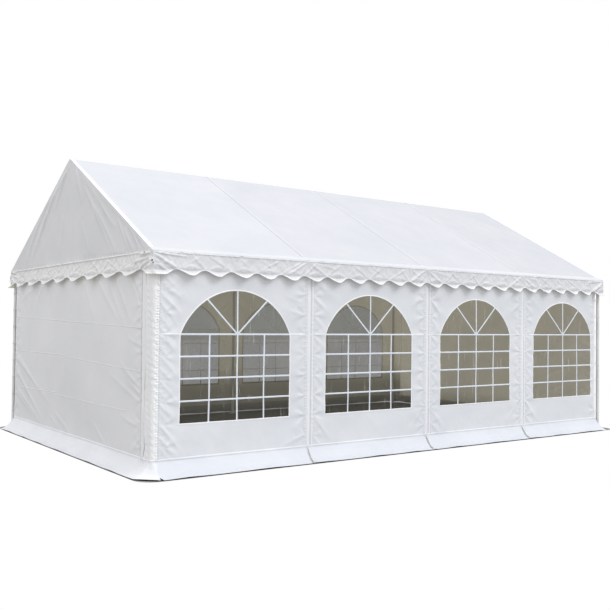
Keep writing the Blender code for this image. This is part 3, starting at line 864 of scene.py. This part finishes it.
def makeGableWall(side, seed, step):
    hung = hungCloth(gablePath, gableFolds(seed))
    edge, weld = gable["overEdge"], flap["weld"]

    def leaning(u, v, lift=0.0):  # the flap is chamfered at the corner, and its ends swing out
        spots = hung(u, v, lift)
        low, turn = downFlap(v), cornerTurn(u)
        flat = ramp(low, 0.0, 0.4) * (1 - 1 / (np.cos(turn) + np.sin(turn)))
        spots[:, 0] -= flat * (spots[:, 0] + 4.0)
        spots[:, 1] -= flat * (spots[:, 1] + tent["halfWidth"])
        spots[:, 0] -= (gable["lean"] * low ** 1.4 + 0.03 * hemNotch(low)) * ramp(u, cornerEnd, gableLength)
        spots[:, 1] += swingOut(v, u)
        return spots
    place = onSide(side, leaning)
    across = gridLines(0.0, (0.3, 0.0125), (4.3, step), (4.69, 0.014), (4.80, 0.0038), (gable["run"], 0.009),
                       (cornerEnd, 0.0027), (gableLength, 0.006))
    along = gridLines(hemLevel, (weld - 0.002, 0.017), (weld, 0.002), (tent["wallTop"], 0.0135))
    # the column round the corner post takes the lighter copy of the gable cloth: painted light
    cloth = clothPiece(f"{side}GableCloth", across, along, place, ["gableCloth", "gableFlapCloth", "paintedLitColumnCloth"],
                       None,
                       lambda u, v: np.where(v < weld, 1, 2 * ((u > gable["columnFrom"]) & (u < cornerEnd))))
    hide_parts(f"{side}_gable_wall")

    def trim(kind, look, *strips):
        return stripPiece(f"{side}{kind}", look, "gable_pvc", place, *strips)
    rows = hungRows(along)
    wavy = [(edge + 0.066 + 0.006 * math.sin(5 * v), v) for v in rows]
    together = [trim("GableBands", "hemCloth", (upRoute(0.022, rows), 0.042, 0.0004, 0.0014), weldStrip(across)),
                # dark strips at the lap's edge and in the groove beside the column: painted shadow
                trim("GablePaintedShadows", "paintedShadowCloth", (upRoute(edge - 0.003, rows), 0.019, 0.0008, 0.0010),
                     (wavy, 0.014, 0.0008, 0.0010))]
    ridges = []
    for start, end in gableRidges:
        route = straightRoute(start, end, 0.05)
        bends = np.random.RandomState(seed + round(100 * start[0])).uniform(-0.003, 0.003, len(route))
        bent = [(u, v + bend) for (u, v), bend in zip(route, bends)]
        ridges.append((bent, 0.012, 0.0002, 0.0030, False, 0.0052))
    together.append(trim("GableRidges", "gableCloth", *ridges))
    bm = bmesh.new()
    dice = np.random.RandomState(seed + 7)
    addRuffle(bm, place, gableLength - 0.017, 0.030, *gable["gathers"], 0.0075, dice)
    addRuffle(bm, place, gableLength - 0.040, 0.024, *gable["gathers"], 0.0035, dice)
    together.append(trimPiece(f"{side}GableGathers", bm, "ropeCloth", "gable_pvc"))
    bm = bmesh.new()
    for v in tieLevels:
        addEyelet(bm, place, 0.02, v)
        addEyelet(bm, place, edge - 0.02, v)
    together.append(trimPiece(f"{side}GableEyelets", bm, "eyeletMetal"))


makeGableWall("left", 31, 0.016)
makeGableWall("right", 77, 0.028)
print("gable walls made")


# roof cover: sags between the bows; v runs from the front eave over the ridge to the back eave
# lap is the width of the painted shadow line beside each seam
roof = {"sag": 0.018, "overBow": 0.002, "ridgeRound": 0.011, "swell": 0.0015, "seam": 0.034, "lap": 0.007,
        "rakeBand": 0.055, "eaveBand": 0.10}


def roofPlace(u, v, lift=0.0):
    x, s = u - tent["reachX"], v - slopeLength
    fromRidge, fromEave = np.abs(s), slopeLength - np.abs(s)
    bay = np.clip((x + 4) / 2, 0, 4)
    share = bay - np.floor(np.minimum(bay, 3.9999))
    span = ((x > -4) & (x < 4)) * ramp(fromEave, 0.0, 0.5) * ramp(fromRidge, 0.0, 0.35)
    push = -roof["sag"] * 4 * share * (1 - share) * span
    near = np.abs(x - 2 * np.round(x / 2))
    push += roof["overBow"] * hump(near, 0.03)
    loose = ramp(near, 0.04, 0.3) * ramp(fromRidge, 0.05, 0.3) * ramp(fromEave, 0.02, 0.2)
    push = push + loose * roof["swell"] * swell(x, s, 11, 0.7) + lift
    rounded = np.sqrt(s ** 2 + roof["ridgeRound"] ** 2)
    y = s * math.cos(slopeAngle) + np.sign(s) * push * math.sin(slopeAngle) * ramp(fromRidge, 0, 0.04)
    z = tent["ridge"] - rounded * math.sin(slopeAngle) + 0.0015 + push * math.cos(slopeAngle)
    return np.stack([x, y, z], 1)


def makeRoof():
    length, bows, stretches = tent["length"], [post + tent["reachX"] for post in tent["posts"]], []
    for bow in bows:  # finer over each bow
        stretches += [(bow - 0.06, 0.06), (min(bow + 0.06, length), 0.012)]
    across = gridLines(0.0, *[stretch for stretch in stretches if stretch[0] > 1e-6])
    along = gridLines(0.0, (0.2, 0.02), (slopeLength - 0.1, 0.06), (slopeLength + 0.1, 0.01),
                      (2 * slopeLength - 0.2, 0.06), (2 * slopeLength, 0.02))
    cover = clothPiece("roofCover", across, along, roofPlace, [f"roofCloth{n}" for n in (1, 2, 3, 4)],
                       None, lambda u, v: np.clip((u - 0.06) // 2, 0, 3).astype(int))
    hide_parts("roof_front", "roof_back")

    def trim(name, look, routes, width, base, thick):
        return stripPiece(name, look, "roof_pvc", roofPlace, *[(route, width, base, thick) for route in routes])
    rake, eave, beside = roof["rakeBand"], roof["eaveBand"], roof["seam"] / 2 + roof["lap"] / 2
    together = [
        trim("roofSeams", "seamCloth", [upRoute(bow, along) for bow in bows[1:-1]], roof["seam"], 0.0004, 0.0018),
        # a dark line beside each seam: painted shadow of the seam's lapped edge
        trim("roofPaintedSeamShadows", "paintedShadowCloth", [upRoute(bow - beside, along) for bow in bows[1:-1]], roof["lap"], 0.0004,
             0.0006),
        trim("roofRakeBands", "roofBand", [upRoute(u, along) for u in (rake / 2, length - rake / 2)], rake, 0.0004,
             0.0016),
        trim("roofEaveBands", "seamCloth", [[(u, v) for u in across] for v in (eave / 2, 2 * slopeLength - eave / 2)],
             eave, 0.0006, 0.0022)]


makeRoof()
print("roof cover made")


# valances: scalloped hanging edges; each lobe is hollow above its rim, which flares out
valance = {"depth": 0.25, "scallop": 0.06, "flare": 0.75, "hollow": 0.014, "roll": 0.008, "welt": 0.006,
           "lean": 0.020, "edgeBand": 0.014}
# corner folds run out from the tie: from and to (distance from the end, distance down), width, height;
# seam folds fan out below each seam of the cover: distance along, distance down, width, height
sideValance = {
    "notches": 23, "reach": 3.77, "end": tent["reachX"], "seed": 5,
    "cornerFolds": [(0.025, 0.035, 0.29, 0.185, 0.020, 0.015), (0.02, 0.018, 0.42, 0.045, 0.010, 0.007),
                    (0.03, 0.105, 0.17, 0.125, 0.009, 0.007), (0.03, 0.14, 0.21, 0.225, 0.011, 0.008),
                    (0.02, 0.085, 0.11, 0.17, 0.008, 0.006)],
    "seamFolds": [(-0.33, 0.205, 0.020, 0.015), (0.30, 0.200, 0.020, 0.013), (-0.13, 0.215, 0.014, 0.009),
                  (0.10, 0.200, 0.012, 0.008), (0.46, 0.090, 0.016, 0.006)]}
gableValance = {
    "notches": 9, "reach": tent["reachY"] * 8 / 9, "end": tent["reachY"] + 0.0016, "seed": 8,
    "cornerFolds": [(0.03, 0.022, 0.32, 0.030, 0.014, 0.014), (0.04, 0.09, 0.285, 0.185, 0.014, 0.011),
                    (0.03, 0.06, 0.46, 0.11, 0.014, 0.008), (0.05, 0.13, 0.20, 0.215, 0.012, 0.007),
                    (0.30, 0.07, 0.50, 0.16, 0.010, 0.006)],
    "seamFolds": []}


def scallops(across, kind):  # 1 in a notch, 0 in the middle of a lobe; and the pitch of the notches
    pitch = 2 * kind["reach"] / (kind["notches"] - 1)
    wave = 0.5 + 0.5 * np.cos(math.tau * (across + kind["reach"]) / pitch)
    return np.where(np.abs(across) > kind["reach"] + pitch / 2, 0.0, wave), pitch


def valanceDown(across, v, kind):  # v runs up from the wavy edge
    deep = valance["depth"] - valance["scallop"] * scallops(across, kind)[0]
    return deep * (1 - np.minimum(v, valance["depth"]) / valance["depth"])


def valancePush(across, down, kind):
    wave, pitch = scallops(across, kind)
    lobe, notches, reach, end, seed = 1 - wave, kind["notches"], kind["reach"], kind["end"], kind["seed"]
    dice = np.random.RandomState(seed)
    index = np.clip(np.floor((across + reach) / pitch).astype(int) + 1, 0, notches)
    lean = dice.uniform(0.75, 1.2, notches + 1)[index]
    notch = valance["depth"] - valance["scallop"]
    below = down - notch - 0.014 * lobe
    push = valance["flare"] * lean * lobe ** 0.6 * (np.sqrt(np.maximum(below, 0) ** 2 + 0.004 ** 2) - 0.004)
    push -= valance["hollow"] * lean * lobe * hump(below, 0.017)
    push += valance["roll"] * lobe * hump(down - notch + 0.042 * lobe, 0.014)
    for count in range(notches):
        at = -reach + pitch * count
        for facing in (-1, 1):
            height = dice.uniform(0.003, 0.012)
            spread = pitch * dice.uniform(0.3, 1.0)
            push += ridge(across, down, (at, notch - 0.005, at + facing * spread, 0.02, 0.015, height))
    push += 0.0026 * swell(across, down * 1.5, seed + 1, 0.15) + 0.0014 * swell(across, down, seed + 4, 0.06)
    ragged = 1 + 0.5 * np.sin(across * math.tau / 0.07 + 2 * swell(across, down * 0, seed + 2, 0.5))
    push += valance["welt"] * ragged * hump(down - 0.010, 0.008)
    for facing in (-1, 1):
        for fromEnd, high, toEnd, low, width, height in kind["cornerFolds"]:
            push += ridge(across, down, (facing * (end - fromEnd), high, facing * (end - toEnd), low,
                                         1.4 * width, 2.1 * height))
    for post in tent["posts"][1:-1]:
        for sideways, low, width, height in kind["seamFolds"]:
            push += ridge(across, down, (post, 0.012, post + sideways, low, width, height))
    push += valance["lean"] * (down / valance["depth"]) ** 2
    return np.maximum(push, -0.013) * ramp(end - np.abs(across), 0.0, 0.03)


def valanceRows():
    return gridLines(0.0, (0.075, 0.0083), (0.215, 0.0125), (valance["depth"], 0.005))


def edgeStrip(across):
    return [(u, 0.006) for u in across], valance["edgeBand"], 0.0004, 0.0012


def sideValancePlace(u, v, lift=0.0):
    across = u - tent["reachX"]
    down = valanceDown(across, v, sideValance)
    push = valancePush(across, down, sideValance) + lift
    y = -tent["reachY"] - 0.0012 * ramp(down, 0, 0.01) - push
    return np.stack([across, y, tent["eave"] + 0.0012 - down], 1)


def makeSideValance(side):
    place, length = onSide(side, sideValancePlace), tent["length"]
    across = gridLines(0.0, (0.5, 0.0095), (length - 0.5, 0.0135), (length, 0.0095))
    cloth = clothPiece(f"{side}ValanceCloth", across, valanceRows(), place, ["valanceCloth"])
    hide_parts(f"{side}_valance")
    edge = stripPiece(f"{side}ValanceEdge", "roofBand", "roof_pvc", place, edgeStrip(across))


makeSideValance("front")
makeSideValance("back")


# gable ends: the triangle under the roof and its valance, one cloth; fold lines run across and up
triangleFolds = [
    (0.21, 3.74, 0.47, 3.18, 0.020, 0.014), (0.25, 3.71, 1.07, 3.11, 0.026, 0.009),
    (0.05, 3.75, -0.85, 3.21, 0.026, 0.008), (-0.85, 3.21, -1.31, 2.70, 0.024, 0.007),
    (-0.12, 3.67, -0.57, 3.18, 0.024, 0.008), (-0.54, 3.45, -1.51, 2.59, 0.028, 0.009),
    (-1.02, 3.23, -1.77, 2.57, 0.024, 0.008), (0.54, 3.39, 1.47, 2.47, 0.028, 0.009),
    (0.89, 3.11, 1.60, 2.47, 0.022, 0.008), (1.07, 3.14, 1.56, 2.77, 0.020, 0.007),
    (1.81, 2.76, 2.10, 2.44, 0.018, 0.008), (1.97, 2.74, 2.24, 2.43, 0.016, 0.008),
    (1.62, 2.87, 1.92, 2.49, 0.018, 0.008), (-1.69, 2.96, -1.91, 2.69, 0.018, 0.007),
    (0.49, 2.95, 0.77, 2.51, 0.022, 0.006), (-0.20, 3.10, -0.32, 2.55, 0.022, 0.005),
    (-2.10, 2.70, -2.30, 2.50, 0.014, 0.006), (2.20, 2.62, 2.40, 2.46, 0.014, 0.007),
]


def gableEndPlace(u, v, lift=0.0):  # v is the valance up to its depth, then the triangle
    reach = gableValance["end"]
    across = u - reach  # +Y is at the left as the left gable is looked at
    down = valanceDown(across, v, gableValance)
    roofLine = np.maximum(tent["ridge"] - np.abs(across) * rise - tent["eave"], 0.0)
    above = np.clip((v - valance["depth"]) / gableRise, 0, 1)
    z = tent["eave"] - down + above * roofLine
    lower = valancePush(across, down, gableValance)
    underRoof = roofLine * (1 - above)
    free = ramp(above, 0.0, 0.08) * ramp(underRoof, 0.0, 0.10)
    upper = 0.004 * swell(across, z * 0.6, 41, 0.8) + 0.0012 * swell(across, z * 0.4, 43, 0.25)
    for line in triangleFolds:
        upper += 1.5 * crease(across, z, line)
    upper = upper * free + 0.003 * np.exp(-np.abs(across - 0.13) / 0.010) * free
    puckers = 0.5 + 0.5 * np.sin(across * math.tau / 0.075 + 2 * np.sin(across * 2.3))
    upper += 0.004 * puckers * hump(underRoof - 0.03, 0.025) * (above > 0)
    seamLine = hump(z - tent["eave"] + 0.004, 0.014) * ramp(reach - np.abs(across), 0.0, 0.045)
    ragged = np.sin(across * math.tau / 0.085 + 3 * np.sin(across * 1.7)) * np.sin(across * 7.3)
    push = np.where(v < valance["depth"] - 1e-9, lower, upper) + seamLine * (0.003 + 0.006 * ragged) + lift
    return np.stack([-tent["reachX"] - 0.0016 - push, -across, z + 0.0008], 1)


def makeGableEnd(side, step):
    place, width, top = onSide(side, gableEndPlace), 2 * gableValance["end"], valance["depth"] + gableRise
    across = gridLines(0.0, (0.5, 0.7 * step), (width / 2, step), (width - 0.5, step), (width, 0.7 * step))
    along = np.concatenate([valanceRows(), gridLines(valance["depth"], (top, 1.8 * step))[1:]])
    cloth = clothPiece(f"{side}GableEndCloth", across, along, place, ["gableValance", "gableTopCloth"],
                       None, lambda u, v: (v > valance["depth"]))
    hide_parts(f"{side}_gable_end")
    edge = stripPiece(f"{side}GableEndEdge", "roofBand", "gable_pvc", place, edgeStrip(across))
    wavy = [(u, valance["depth"] - 0.004 + 0.005 * math.sin(u * 41 + 2 * math.sin(u * 13))) for u in across[3:-3]]
    welt = stripPiece(f"{side}GableEndWelt", "gableValance", "gable_pvc", place, (wavy, 0.020, 0.0006, 0.0018))


makeGableEnd("left", 0.0145)
makeGableEnd("right", 0.0215)
print("valances and gable ends made")


# cord ties where a free edge is laced to a bare corner post: round the post, through the eyelet and back
ties = {"round": 0.0285, "radius": 0.0026}


def makeTies(name, half, onGable):
    bm = bmesh.new()
    for level in tieLevels:
        route = []  # towards the wall, outwards, up
        for turn in np.linspace(-1.9, 1.9, 9):
            inwards, outwards = ties["round"] * math.cos(turn), ties["round"] * math.sin(turn)
            route.append((inwards, outwards, level - 0.01 + 0.004 * turn))
        route += [(-0.01 - 0.07 * share, 0.027 - 0.055 * share, level) for share in (0.35, 0.7)]
        route.append((-0.098, -0.034, level + 0.004))
        route += [(-0.01 - 0.09 * share, -0.031, level + 0.005) for share in (0.6, 0.3)]
        route = np.array(route)
        if onGable:
            route = route[:, [1, 0, 2]] + (-4.0, tent["halfWidth"], 0)
        else:
            route = route + (4.0, -tent["halfWidth"], 0)
        addTube(bm, route * (half, half, 1), ties["radius"])
    trimPiece(name, bm, "lacingCord")


makeTies("frontRightTies", 1, False)
makeTies("backLeftTies", -1, False)
makeTies("backLeftGableTies", 1, True)
makeTies("frontRightGableTies", -1, True)


# the knots at the four eave corners, each of three turns and two ends, with their eyelets, which are near black:
# painted shadow behind the knots
knot = {"turns": ((0.0, 0.0, 0.021), (0.014, -0.024, 0.015), (-0.014, 0.018, 0.014)), "cord": 0.0048, "end": 0.0032,
        "eyelets": ((4.066, 2.566, 2.336), (4.062, 2.582, 2.312)), "lastEyelet": (4.082, 2.41, 2.424), "inset": 0.062}


def addKnot(bm, signX, signY):
    corner = np.array([signX * 4.068, signY * (2.568 if signX * signY > 0 else 2.505), 2.335])
    along = np.array([-signX * 0.7, signY * 0.7, 0.0])
    outward = np.array([signX * 0.7, signY * 0.7, 0.0])
    up = np.array([0, 0, 1])
    for shift, level, size in knot["turns"]:
        ring = [corner + along * (shift + size * math.cos(t)) + outward * (0.006 + 0.004 * math.sin(2 * t))
                + up * (level + size * math.sin(t)) for t in roundTurns(12)]
        addTube(bm, ring, knot["cord"], 6)
    for facing in (-1, 1):
        tail = [corner + along * facing * (0.008 + 0.035 * t) + outward * (0.010 - 0.004 * t)
                - up * (0.012 + 0.05 * t) for t in np.linspace(0, 1, 5)]
        addTube(bm, tail, knot["end"], closed=False)


def addEaveEyelets(bm, signX, signY):
    inset = 0.0 if signX * signY > 0 else knot["inset"]
    for x, y, z in [(x, y - inset, z) for x, y, z in knot["eyelets"]] + [knot["lastEyelet"]]:
        eye = [(signX * (x - 0.004 * math.cos(t)), signY * (y + 0.007 * math.cos(t)), z + 0.008 * math.sin(t))
               for t in roundTurns(8)]
        addTube(bm, eye, 0.0055)


for name, look, addOne in (("eaveKnots", "lacingCord", addKnot), ("eaveEyelets", "darkEyelet", addEaveEyelets)):
    bm = bmesh.new()
    for signX in (-1, 1):
        for signY in (-1, 1):
            addOne(bm, signX, signY)
    trimPiece(name, bm, look)
for name, node in nodes.items():
    if any(word in name for word in ("post", "bow", "rail", "tie")):
        node.material_slots[0].material = finishes["powderCoat"]
print("ties, knots and frame finish made")


# pale floor, darker under the tent as painted shade, that fades into a white surround, and soft studio light; the
# films show a plain grey in its place
studio = {"horizon": 0.86, "zenith": 0.50, "sun": 1.0, "sunAngle": 32, "toSun": (0.35, -0.6, 0.70), "floor": 0.32,
          "fill": 0.35, "fillAngle": 60, "toFill": (-0.8, -0.25, 0.55), "throughFilm": (0.40, 0.405, 0.39, 1),
          "paintedShadeUnderTent": (0.13, 0.13, 0.125, 1)}
white = {"Color": (1, 1, 1, 1), "Strength": 1.0}


def seenDirectly(tree):  # by the camera, and not through a film
    view = addNode(tree, "LightPath").outputs
    unfiltered = calc(tree, "LESS_THAN", view["Transparent Depth"], 0.5)
    return calc(tree, "MULTIPLY", unfiltered, view["Is Camera Ray"]), view


def makeFloor():
    bm = bmesh.new()
    bmesh.ops.create_grid(bm, x_segments=1, y_segments=1, size=60)
    mesh = newMesh("studioFloor", bm)
    floor = bpy.data.objects.new("studioFloor", mesh)
    bpy.context.scene.collection.objects.link(floor)
    floor.location.z = -0.0005
    floor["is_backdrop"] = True
    finish, tree, shader = newFinish("studioFloor", {"Roughness": 0.95, "Specular IOR Level": 0.0})
    parts, beyond = placeOf(tree)[1], []
    for axis, reach in ((0, 4.0), (1, tent["halfWidth"])):
        size = calc(tree, "SUBTRACT", calc(tree, "ABSOLUTE", parts[axis]), reach)
        beyond.append(calc(tree, "POWER", calc(tree, "MAXIMUM", size, 0.0), 2.0))
    far = calc(tree, "SQRT", calc(tree, "ADD", *beyond))
    # the floor under the tent is darker: painted shade
    under = mixColour(tree, rangeOf(tree, far, 0.12, 0.19), studio["paintedShadeUnderTent"], (studio["floor"],) * 3 + (1,))
    join(tree, under, shader["Base Color"])
    whitened = calc(tree, "MULTIPLY", seenDirectly(tree)[0], rangeOf(tree, far, 0.212, 0.222))
    bright = addNode(tree, "Emission", white)
    plain = tree.nodes["Principled BSDF"].outputs[0]
    blend = addNode(tree, "MixShader", {0: whitened, 1: plain, 2: bright.outputs[0]})
    join(tree, blend.outputs[0], tree.nodes["Material Output"].inputs["Surface"])
    mesh.materials.append(finish)


def makeSky():
    world = bpy.data.worlds.new("studioSky")
    bpy.context.scene.world = world
    world.use_nodes = True
    tree = world.node_tree
    tree.nodes.clear()
    up = placeOf(tree, "Generated")[1][2]
    strength = rangeOf(tree, up, 0.0, 1.0, studio["horizon"], studio["horizon"] + studio["zenith"])
    lit = addNode(tree, "Background", {"Color": (0.985, 0.99, 1, 1), "Strength": strength})
    seen = addNode(tree, "Background", white)
    throughFilm = addNode(tree, "Background", {"Color": studio["throughFilm"], "Strength": 1.0})
    direct, view = seenDirectly(tree)
    pick = addNode(tree, "MixShader", {0: view["Is Camera Ray"], 1: lit.outputs[0], 2: throughFilm.outputs[0]})
    pick = addNode(tree, "MixShader", {0: direct, 1: pick.outputs[0], 2: seen.outputs[0]})
    join(tree, pick.outputs[0], addNode(tree, "OutputWorld").inputs["Surface"])


def addSun(name, energy, angle, towards):
    light = bpy.data.lights.new(name, "SUN")
    light.energy = energy
    light.angle = math.radians(angle)
    holder = bpy.data.objects.new(name, light)
    bpy.context.scene.collection.objects.link(holder)
    holder.rotation_mode = "QUATERNION"
    holder.rotation_quaternion = Vector(towards).to_track_quat("Z", "Y")
    holder.location = Vector(towards) * 12


makeFloor()
makeSky()
addSun("softSun", studio["sun"], studio["sunAngle"], studio["toSun"])
addSun("softFill", studio["fill"], studio["fillAngle"], studio["toFill"])
faces = {piece.name: sum(len(p.vertices) - 2 for p in piece.data.polygons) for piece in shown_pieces()}
print("triangles:", sum(faces.values()), "most in one piece:", max(faces, key=faces.get), max(faces.values()))
